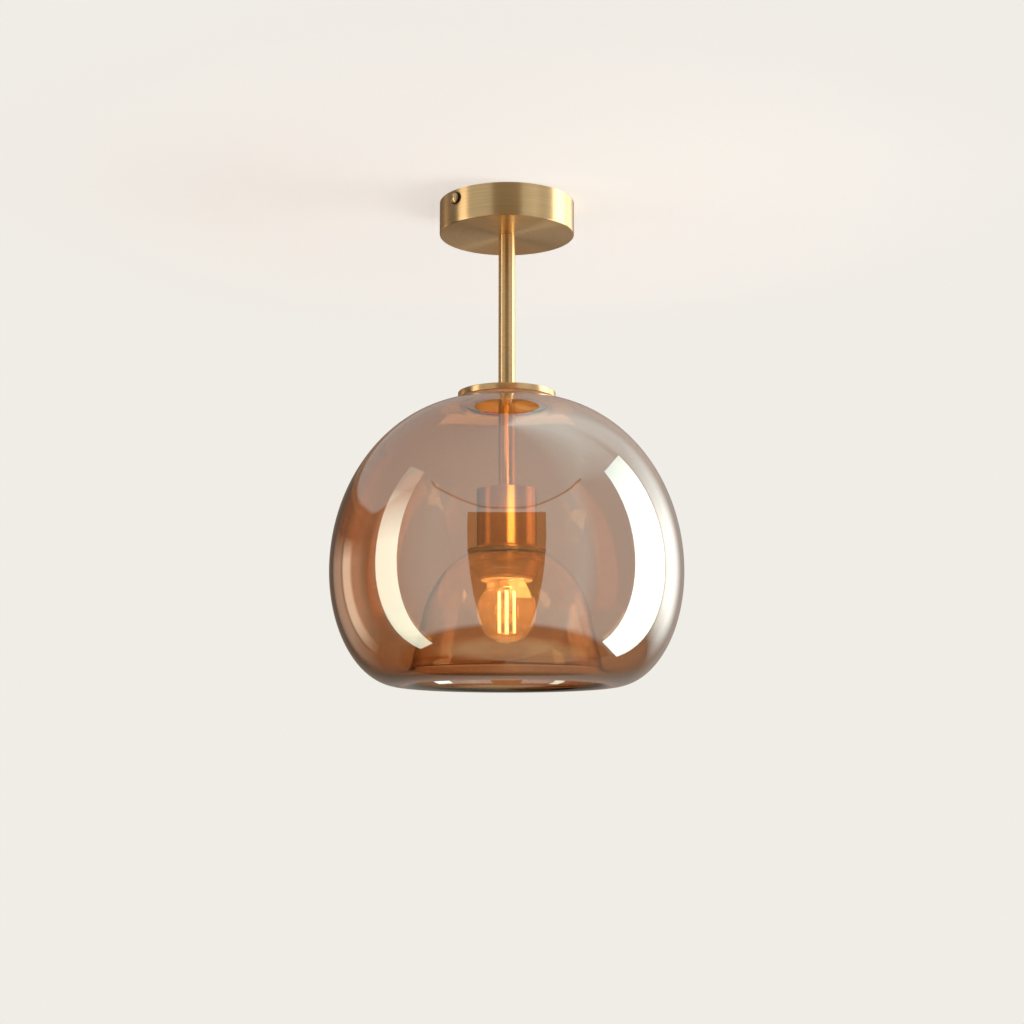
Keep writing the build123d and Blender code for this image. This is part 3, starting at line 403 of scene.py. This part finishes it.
def arc(centre_r, centre_z, half_width, half_height, start, end, count):
    """Points (radius, height) on an arc of an ellipse, angles in degrees."""
    points = []
    for step in range(count + 1):
        angle = radians(start + (end - start) * step / count)
        points.append((centre_r + half_width * cos(angle), centre_z + half_height * sin(angle)))
    return points


def turned(name, outline, steps=192):
    """Spins a closed outline (radius, height), in millimetres, into a smooth mesh piece."""
    bpy.ops.object.select_all(action="DESELECT")
    bpy.ops.mesh.primitive_plane_add(size=MM)
    piece = bpy.context.object
    piece.name = name
    bpy.ops.object.mode_set(mode="EDIT")
    bpy.ops.mesh.merge(type="CENTER")
    here = Vector((0, 0, 0))
    for index, (radius, height) in enumerate(list(outline) + [outline[0]]):
        there = Vector((radius * MM, 0, height * MM))
        step = {"value": there - here}
        if index == 0:
            bpy.ops.transform.translate(**step)
        else:
            bpy.ops.mesh.extrude_vertices_move(TRANSFORM_OT_translate=step)
        here = there
    bpy.ops.mesh.select_all(action="SELECT")
    bpy.ops.mesh.remove_doubles(threshold=SAME_POINT)
    bpy.ops.mesh.spin(steps=steps, angle=2 * pi, center=(0, 0, 0), axis=(0, 0, 1))
    bpy.ops.mesh.select_all(action="SELECT")
    bpy.ops.mesh.remove_doubles(threshold=SAME_POINT)
    bpy.ops.mesh.normals_make_consistent(inside=False)
    bpy.ops.object.mode_set(mode="OBJECT")
    bpy.ops.object.shade_smooth_by_angle(angle=radians(35))
    print(name, "faces:", len(piece.data.polygons))
    return piece


# %% [markdown]
# ## Brass
# Spun brass keeps fine rings from the polishing pad. A wave texture would repeat too evenly, so the
# grain is noise on the height and the distance from the axis: it runs round every turned piece, and
# the anisotropic highlight follows it.


# %% Brass
def tones(tree, factor, dark, light):
    """Two tones of a finish over the middle of a noise."""
    light = tuple(min(1.0, c) for c in light)
    return ramp(tree, factor, [(0.3, tuple(dark) + (1,)), (0.7, light + (1,))])


def ring_coordinates(tree, fine, coarse):
    """Noise coordinates that change fast along the axis and outwards, and slowly round it."""
    place = add(tree, "TexCoord").outputs["Object"]
    parts = add(tree, "SeparateXYZ", Vector=place)
    x, y, z = (parts.outputs[axis] for axis in "XYZ")
    radius = math(tree, "SQRT", math(tree, "ADD", math(tree, "MULTIPLY", x, x),
                                     math(tree, "MULTIPLY", y, y)))
    safe = math(tree, "MAXIMUM", radius, 0.0001)
    round_x = math(tree, "MULTIPLY", math(tree, "DIVIDE", x, safe), coarse)
    round_y = math(tree, "MULTIPLY", math(tree, "DIVIDE", y, safe), coarse)
    along = math(tree, "MULTIPLY", math(tree, "ADD", z, radius), fine)
    joined = add(tree, "CombineXYZ", X=round_x, Y=round_y, Z=along).outputs[0]
    about = add(tree, "CombineXYZ", X=math(tree, "MULTIPLY", y, -1.0), Y=x).outputs[0]
    return joined, about


def brass(name, colour, roughness, anisotropy):
    """Lacquered brass with a turned or brushed grain."""
    material, tree, output = new_material(name)
    place, about = ring_coordinates(tree, 900.0, 1.2)
    grain = add(tree, "TexNoise", Vector=place, Scale=1.0, Detail=3.0, Roughness=0.6)
    wear = add(tree, "TexNoise", Vector=add(tree, "TexCoord").outputs["Object"], Scale=28.0, Detail=4.0)
    tone = tones(tree, grain.outputs["Fac"], (c * 0.90 for c in colour), (c * 1.06 for c in colour))
    rough = remap(tree, wear.outputs["Fac"], 0.0, 1.0, roughness * 0.85, roughness * 1.2)
    bump = add(tree, "Bump", Strength=0.12, Distance=0.00004, Height=grain.outputs["Fac"])
    tangent = add(tree, "VectorTransform", Vector=about)
    tangent.vector_type = "VECTOR"
    tangent.convert_from = "OBJECT"
    tangent.convert_to = "WORLD"
    shader = add(tree, "BsdfPrincipled", Base_Color=tone, Metallic=1.0, Roughness=rough,
                 Normal=bump.outputs["Normal"], Tangent=tangent.outputs[0], Anisotropic=anisotropy,
                 Anisotropic_Rotation=0.25)
    tree.links.new(shader.outputs[0], output.inputs["Surface"])
    return material


finishes = {"brushed_brass": brass("brushed_brass", (0.85, 0.60, 0.30), 0.32, 0.9),
            "bare_brass": brass("bare_brass", (0.82, 0.63, 0.30), 0.22, 0.3)}
print("brass finishes:", ", ".join(finishes))

# %% [markdown]
# ## Plated, moulded and glazed finishes
# Zinc, tin, nylon, ceramic, silicone and wire insulation are told apart by colour, gloss and grain. Each
# could have its own graph, but one graph with a fine grain over broad, faint changes of tone serves
# them all, and only the numbers differ.


# %% Other solid finishes
def solid(name, colour, roughness, metallic, scale, depth, spread=0.12, coat=0.0, sheer=0.0):
    """A moulded, plated or glazed finish: a fine grain over broad, faint changes of tone."""
    material, tree, output = new_material(name)
    place = add(tree, "TexCoord").outputs["Object"]
    fine = add(tree, "TexNoise", Vector=place, Scale=scale, Detail=3.0)
    broad = add(tree, "TexNoise", Vector=place, Scale=scale * 0.12, Detail=3.0)
    tone = tones(tree, broad.outputs["Fac"], (c * (1 - spread) for c in colour),
                 (c * (1 + spread) for c in colour))
    rough = remap(tree, fine.outputs["Fac"], 0.0, 1.0, roughness * 0.8, min(1.0, roughness * 1.25))
    bump = add(tree, "Bump", Strength=depth, Distance=0.00005, Height=fine.outputs["Fac"])
    shader = add(tree, "BsdfPrincipled", Base_Color=tone, Metallic=metallic, Roughness=rough,
                 Normal=bump.outputs["Normal"], Coat_Weight=coat, Coat_Roughness=0.08,
                 Transmission_Weight=sheer)
    tree.links.new(shader.outputs[0], output.inputs["Surface"])
    return material


for name, *numbers in (
        ("zinc_steel", (0.62, 0.63, 0.64), 0.32, 1.0, 420.0, 0.15),
        ("tinned_brass", (0.72, 0.71, 0.68), 0.30, 1.0, 500.0, 0.12),
        ("block_nylon", (0.80, 0.78, 0.72), 0.45, 0.0, 600.0, 0.1),
        ("holder_ceramic", (0.82, 0.79, 0.70), 0.22, 0.0, 220.0, 0.08, 0.05, 0.6),
        ("wire_brown", (0.17, 0.075, 0.035), 0.4, 0.0, 500.0, 0.1),
        ("wire_blue", (0.02, 0.09, 0.38), 0.4, 0.0, 500.0, 0.1),
        ("wire_green", (0.10, 0.30, 0.03), 0.4, 0.0, 500.0, 0.1, 0.3),
        ("clear_silicone", (0.80, 0.77, 0.70), 0.35, 0.0, 300.0, 0.1, 0.05, 0.0, 0.6),
        ("bulb_cap_metal", (0.75, 0.74, 0.71), 0.25, 1.0, 500.0, 0.12),
        ("bulb_insulation", (0.02, 0.02, 0.024), 0.15, 0.0, 200.0, 0.1, 0.3, 0.5),
        ("lead_wire", (0.70, 0.68, 0.64), 0.25, 1.0, 600.0, 0.1),
        ("dark_steel", (0.035, 0.026, 0.022), 0.4, 0.6, 400.0, 0.15, 0.25)):
    finishes[name] = solid(name, *numbers)
print("finishes:", ", ".join(finishes))

# %% [markdown]
# ## Smoked glass with a half-mirror skin
# The shade is tinted in the mass and carries a thin metallic film. Painting it as a see-through amber
# sheet would lose the way the foot and the edges deepen, so the wall is real refracting glass: it
# darkens with the length of the path through it, its skins take their share too, and over the outer
# skin lies a mirror that throws back about a third of the light. One volume may have only one
# material, so attributes on the faces say where the mirror is thin.

# %% Glass finishes
WALL_PATH = 0.0028
EDGE_SHEEN = (1.0, 0.90, 0.84, 1)
INSIDE_LOSS = 0.6


def attribute(tree, name):
    """The value of one of the mesh's own attributes."""
    node = add(tree, "Attribute")
    node.attribute_name = name
    return node.outputs["Fac"]


def glass(name, smoke, mirror, edge_mirror, skin_colour, haze, stain=None):
    """Refracting glass. Smoke is what a wall's thickness lets through, mirror the share of its skin.

    With a stain, the mesh's attributes count: coated is the strength of the mirror, and stained is 1
    where the skins are tinted too, and 0 where they have the haze that glows round the bulb.
    """
    material, tree, output = new_material(name)
    place = add(tree, "TexCoord").outputs["Object"]
    waves = add(tree, "TexNoise", Vector=place, Scale=11.0, Detail=1.0)
    bump = add(tree, "Bump", Strength=0.02, Distance=0.002, Height=waves.outputs["Fac"])
    wall = add(tree, "BsdfPrincipled", Base_Color=(1, 1, 1, 1), Roughness=0.0, IOR=1.47,
               Transmission_Weight=1.0, Normal=bump.outputs["Normal"])
    facing = add(tree, "LayerWeight", Blend=0.5, Normal=bump.outputs["Normal"]).outputs["Facing"]
    share = math(tree, "MULTIPLY", math(tree, "POWER", facing, 4.0), edge_mirror)
    share = math(tree, "ADD", share, mirror)
    if stain:
        stained = attribute(tree, "stained")
        tone = blended(tree, "MIX", stained, (1, 1, 1, 1), stain + (1,))
        tree.links.new(tone, wall.inputs["Base Color"])
        haze = math(tree, "MULTIPLY", math(tree, "SUBTRACT", 1.0, stained), haze)
        share = math(tree, "MULTIPLY", share, attribute(tree, "coated"))
    bloom = add(tree, "BsdfTranslucent", Color=(1.0, 0.86, 0.66, 1))
    surface = add(tree, "MixShader", Fac=haze, i1=wall.outputs[0], i2=bloom.outputs[0]).outputs[0]

    # met from inside the wall, the mirror gives less back
    inside = math(tree, "MULTIPLY", add(tree, "NewGeometry").outputs["Backfacing"], INSIDE_LOSS)
    share = math(tree, "MULTIPLY", share, math(tree, "SUBTRACT", 1.0, inside))
    sheen = blended(tree, "MIX", math(tree, "POWER", facing, 2.0), skin_colour + (1,), EDGE_SHEEN)
    skin = add(tree, "BsdfGlossy", Color=sheen, Roughness=0.0, Normal=bump.outputs["Normal"])
    surface = add(tree, "MixShader", Fac=share, i1=surface, i2=skin.outputs[0]).outputs[0]

    # lamps shine through, so that what is inside is lit
    through = add(tree, "BsdfTransparent", Color=tuple(sqrt(c) for c in (stain or smoke)) + (1,))
    shadow = add(tree, "LightPath").outputs["Is Shadow Ray"]
    surface = add(tree, "MixShader", Fac=shadow, i1=surface, i2=through.outputs[0]).outputs[0]
    tree.links.new(surface, output.inputs["Surface"])
    depths = [-log(c) / WALL_PATH for c in smoke]
    density = max(depths) * 1.25
    volume = add(tree, "VolumeAbsorption", Density=density,
                 Color=tuple(1 - depth / density for depth in depths) + (1,))
    tree.links.new(volume.outputs[0], output.inputs["Volume"])
    print(name, "absorbs", [round(depth) for depth in depths], "per metre")
    return material


smoked_glass = glass("smoked_glass", (0.96, 0.84, 0.70), 0.34, 0.28, (0.68, 1.0, 0.95), 0.035,
                     (0.78, 0.52, 0.375))
bulb_clear = glass("bulb_clear", (0.99, 0.96, 0.90), 0.03, 0.3, (1.0, 0.95, 0.9), 0.035)
finishes["bulb_glass"] = bulb_clear

# %% [markdown]
# ## The glass shade
# One blown wall: the dome runs down, folds in at the foot and rises again as the bell whose flat top is
# clamped at the lampholder. Two nested shells would leave a seam at the foot, so the whole wall is one
# closed outline, with the crisp crease inside the fold, and is spun in one go.

# %% Outline of the glass
DOME_SEAT, DOME_HOLE = -155.4, 31.0
WAIST, SHADE_FOOT = -283.9, -369.9
FOLD_RADIUS, CREASE = 79.43, -365.7
BELL_SEAT, BELL_HOLE, BELL_CENTRE = -271.0, 20.7, -333.9
WALL, FOLD_WALL = 2.8, 4.2


def shade_outline():
    """The wall's outline: outer skin from the dome's hole to the bell's hole, then back inside."""
    dome, foot = (109.8, 129.6), (131.8 - FOLD_RADIUS, 86.0)
    outer = [(DOME_HOLE + 0.5, DOME_SEAT)]
    outer += arc(22.0, WAIST, *dome, 82.53, 0, 40)
    outer += arc(FOLD_RADIUS, WAIST, *foot, 0, -90, 28)[1:]
    outer += arc(FOLD_RADIUS, SHADE_FOOT + 11.0, 11.0, 11.0, -90, -168, 10)[1:]
    outer += arc(0, BELL_CENTRE, 61.2, 67.7, 13.23, 62.57, 24)
    outer.append((BELL_HOLE + 0.9, BELL_SEAT - WALL))
    inner = arc(BELL_HOLE + 0.9, BELL_SEAT - 1.4, 0.9, 1.4, -110, -250, 4)
    inner.append((28.9, BELL_SEAT))
    inner += arc(0, BELL_CENTRE, 64.0, 70.5, 63.15, 13.18, 24)
    inner += arc(69.56 + 8.2, CREASE + 13.8, 8.2, 13.8, 180, 270, 10)
    inner += arc(FOLD_RADIUS, WAIST, foot[0] - WALL, foot[1] - FOLD_WALL, -90, 0, 28)
    inner += arc(22.0, WAIST, dome[0] - WALL, dome[1] - WALL, 0, 80.2, 40)[1:]
    inner.append((DOME_HOLE + 0.9, DOME_SEAT - WALL))
    inner += arc(DOME_HOLE + 0.9, DOME_SEAT - 1.4, 0.9, 1.4, 250, 110, 4)
    return outer + inner


print("outline points:", len(shade_outline()))

# %% Glass shade
BELL_REACH, BELL_FOOT = 0.068, -0.270
BELL_ROOM_COAT, BELL_GAP_COAT, LEAST_COAT = 0.45, 0.6, 0.85

shade = turned("blown_shade", shade_outline(), 256)
shade.data.materials.append(smoked_glass)
coated = shade.data.attributes.new("coated", "FLOAT", "FACE")
stained = shade.data.attributes.new("stained", "FLOAT", "FACE")
for face in shade.data.polygons:
    middle = face.center
    radius = middle.xy.length
    outward = face.normal.xy.dot(middle.xy) / radius
    on_bell = radius < BELL_REACH and middle.z < BELL_FOOT
    if on_bell:
        room_side = outward < 0 or face.normal.z < -0.5
    elif radius < FOLD_RADIUS * MM and middle.z < -0.3:
        room_side = middle.z < CREASE * MM - 0.0001 or outward < -0.1
    else:
        room_side = outward > 0.05 or face.normal.z > 0.3
    if on_bell:
        coated.data[face.index].value = BELL_ROOM_COAT if room_side else BELL_GAP_COAT
    else:
        # the mirror is a little thinner at the foot
        thin = min(1.0, max(LEAST_COAT, (middle.z + 0.366) / 0.028))
        coated.data[face.index].value = thin if room_side else 0.0
    stained.data[face.index].value = 0.0 if on_bell else 1.0
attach(shade, "shade")
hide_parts("glass_shade")
print("mirrored faces:", sum(value.value > 0 for value in coated.data))

# %% [markdown]
# ## The globe of the bulb
# A thin clear globe with a neck. A plain sphere would have no wall, so it is spun from an outer and an
# inner line like the shade, and it really holds the filaments.

# %% Globe
GLOBE_CENTRE = -314.45
bulb_outer = [(12.2, -281.95), (12.2, -286.3)]
bulb_outer += arc(21.2, -286.6, 9.0, 9.0, 180, 232.6, 8)[1:]
bulb_outer += arc(0, GLOBE_CENTRE, 22.5, 22.5, 48, -90, 40)
bulb_inner = arc(0, GLOBE_CENTRE, 21.7, 21.7, -90, 48, 40)
bulb_inner += [(11.4, -286.0), (11.4, -281.95)]
envelope = turned("globe", bulb_outer + bulb_inner, 96)
envelope.data.materials.append(bulb_clear)
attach(envelope, "bulb_envelope")
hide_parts("bulb_glass")

# %% [markdown]
# ## The lit filaments
# Four upright sticks glow in a warm white that is a little uneven along them. Their shapes are the
# mechanical model's. Left to themselves they would light the brass only as noise, because few rays find
# such thin sticks through the glass, so a small warm lamp in the middle of the globe stands for them.

# %% Filaments
material, tree, output = new_material("filament_glow")
dots = add(tree, "TexNoise", Vector=add(tree, "TexCoord").outputs["Object"], Scale=400.0, Detail=2.0)
heat = ramp(tree, dots.outputs["Fac"], [(0.0, (1.0, 0.66, 0.26, 1)), (1.0, (1.0, 0.86, 0.52, 1))])
shine = add(tree, "Emission", Color=heat, Strength=70.0)
tree.links.new(shine.outputs[0], output.inputs["Surface"])
finishes["filament_glow"] = material

warm = bpy.data.lights.new("filament_light", "POINT")
warm.energy = 0.38
warm.color = (1.0, 0.78, 0.45)
warm.shadow_soft_size = 0.010
warm_lamp = bpy.data.objects.new("filament_light", warm)
warm_lamp.location = (0, 0, GLOBE_CENTRE * MM)
warm_lamp.visible_camera = False
warm_lamp.visible_transmission = False
bpy.context.scene.collection.objects.link(warm_lamp)
print("filament lamp at z", round(warm_lamp.location.z, 4))

# %% [markdown]
# ## The canopy
# A shallow brass cup against the ceiling, spun from sheet 1.2 mm thick, with a small round at its lower
# edge. A cylinder with a bevel would look alike from outside, but the spun outline also gives the
# inside and the hole for the stem. A thin drill then cuts the two side holes through the finished wall.


# %% Canopy
def dress(piece, node, body, slot):
    """Puts a piece on its node's body, with the finish named by the slot, and hides the node."""
    piece.data.materials.append(finishes[slot])
    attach(piece, body)
    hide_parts(node)


CANOPY_RADIUS, CANOPY_FLOOR = 51.5, -25.4
SIDE_HOLE_RADIUS, SIDE_HOLE_HEIGHT = 2.25, -6.8
canopy = turned("spun_canopy", [(CANOPY_RADIUS, 0.0)]
                + arc(CANOPY_RADIUS - 1, CANOPY_FLOOR + 1, 1, 1, 0, -90, 8)
                + [(5.25, CANOPY_FLOOR), (5.25, CANOPY_FLOOR + 1.2)]
                + arc(CANOPY_RADIUS - 2.2, CANOPY_FLOOR + 2.2, 1, 1, -90, 0, 6)
                + [(CANOPY_RADIUS - 1.2, 0.0)])
bpy.ops.object.select_all(action="DESELECT")
bpy.ops.mesh.primitive_cylinder_add(vertices=48, radius=SIDE_HOLE_RADIUS * MM, depth=0.12,
                                    location=(0, 0, SIDE_HOLE_HEIGHT * MM), rotation=(0, pi / 2, 0))
drill = bpy.context.object
bpy.ops.object.select_all(action="DESELECT")
bpy.context.view_layer.objects.active = canopy
canopy.select_set(True)
holes = canopy.modifiers.new("side_holes", "BOOLEAN")
holes.operation = "DIFFERENCE"
holes.object = drill
bpy.ops.object.modifier_apply(modifier=holes.name)
bpy.data.objects.remove(drill)
dress(canopy, "canopy", "lamp_frame", "brushed_brass")
print("drilled canopy faces:", len(canopy.data.polygons))

# %% [markdown]
# ## The stem
# A plain brass tube, 12.7 mm thick. A cylinder would look the same in the middle, but its ends would
# be closed and sharp. Spun from an outline it is a real tube, and its ends are broken by 0.2 mm, as is
# done with a file, so that they catch a thin line of light where they meet the canopy and the cup.

# %% Stem
STEM_END = -222.4
stem = turned("stem_tube", [(5.05, CANOPY_FLOOR), (6.15, CANOPY_FLOOR), (6.35, CANOPY_FLOOR - 0.2),
                            (6.35, STEM_END + 0.2), (6.15, STEM_END), (5.05, STEM_END)], 96)
dress(stem, "stem", "lamp_frame", "brushed_brass")

# %% [markdown]
# ## The cup over the lampholder
# A straight cup whose mouth flares through a small hollow into a rolled brim. The brim could be a
# second ring, but the real one is spun out of the same sheet, so it belongs to the same outline.

# %% Cup
BRIM_FACE = -269.2
cup = turned("spun_cup", [(5.25, STEM_END)] + arc(21.8, STEM_END - 0.5, 0.5, 0.5, 90, 0, 5)
             + arc(24.3, BRIM_FACE + 4.214, 2, 2, 180, 258, 8)
             + arc(29.3, BRIM_FACE + 0.5, 0.5, 0.5, 78, -90, 8)
             + [(21.1, BRIM_FACE), (21.1, STEM_END - 1.5), (5.25, STEM_END - 1.5)])
dress(cup, "lampholder_cup", "lamp_frame", "brushed_brass")

# %% [markdown]
# ## The disc on the shade
# A turned disc covers the hole in the dome, and its boss centres it there. Two cylinders could be
# joined for it, but one outline gives disc, boss and bore at once. The outer edges are rounded, because
# a sharp edge shows no highlight. It rests on the glass, so it rides on the shade's body.

# %% Disc
CAP_FACE = -153.204
cap = turned("turned_cap", [(6.4, CAP_FACE + 4.8)] + arc(36.2, CAP_FACE + 4.1, 0.7, 0.7, 90, 0, 6)
             + arc(36.2, CAP_FACE + 0.7, 0.7, 0.7, 0, -90, 6) + [(24.55, CAP_FACE)]
             + arc(23.85, CAP_FACE - 3.2, 0.7, 0.7, 0, -90, 6) + [(6.4, CAP_FACE - 3.9)])
dress(cap, "shade_cap", "shade", "brushed_brass")

# %% [markdown]
# ## The shade ring
# The ring screws up the lampholder and presses the bell against the cup's brim. It has a broad flange,
# a cone and a narrow collar, and inside it a step for the thread. Extruding and scaling a circle would
# give the same steps one by one, but in an outline every height can be read and changed.

# %% Shade ring
RING_TOP, RING_FOOT = -275.6, -289.8
ring = turned("turned_ring", [(22.6, RING_TOP)] + arc(27.9, RING_TOP - 0.6, 0.6, 0.6, 90, 0, 6)
              + arc(27.9, RING_TOP - 3.0, 0.6, 0.6, 0, -90, 6)
              + [(26.9, RING_TOP - 3.6), (22.0, -287.15), (21.9, -287.5), (21.9, RING_FOOT + 0.5),
                 (21.4, RING_FOOT), (19.8, RING_FOOT), (19.8, RING_FOOT + 6.5), (22.6, RING_FOOT + 8.9)])
dress(ring, "shade_ring", "ring", "brushed_brass")

# %% [markdown]
# ## The lampholder's skirt
# The lower half of the lampholder looks out of the ring and glows from the bulb. The mechanical
# model's own skirt could be dressed, but its foot has a plain chamfer, and a glaze rounds every edge.
# So it is spun again, with a rounded foot and the small lip in its mouth.

# %% Skirt
SKIRT_FOOT = -291.7
skirt = turned("glazed_skirt", [(15.6, -244.3), (17.9, -244.3), (17.9, -248.8), (19.75, -248.8),
                                (19.75, SKIRT_FOOT + 0.8)]
               + arc(18.95, SKIRT_FOOT + 0.8, 0.8, 0.8, 0, -90, 5)
               + [(14.9, SKIRT_FOOT), (14.6, SKIRT_FOOT + 0.3), (14.6, SKIRT_FOOT + 1.6),
                  (15.6, SKIRT_FOOT + 1.6)])
dress(skirt, "holder_skirt", "lamp_frame", "holder_ceramic")

# %% [markdown]
# ## Finishes for the other pieces
# Bracket, block, screws, nuts, wires and the bulb's cap keep the shapes of the mechanical model. Their
# meshes are loose triangles, which would show as flat facets. Live modifiers weld them and split them
# again at sharp edges, so that curved faces shade smoothly, and each takes its slot's finish.

# %% Dress the CAD nodes
SHARP_EDGE = radians(32)
for part in frame["record"]["subparts"]:
    node = frame["nodes"][part["node"]]
    if node.hide_render:
        continue
    node.data.materials.clear()
    node.data.materials.append(finishes[part["material_slot"]])
    node.modifiers.new("weld", "WELD").merge_threshold = SAME_POINT
    node.modifiers.new("sharp_edges", "EDGE_SPLIT").split_angle = SHARP_EDGE
    for face in node.data.polygons:
        face.use_smooth = True
print("dressed", sum(not n.hide_render for n in frame["nodes"].values()), "nodes")
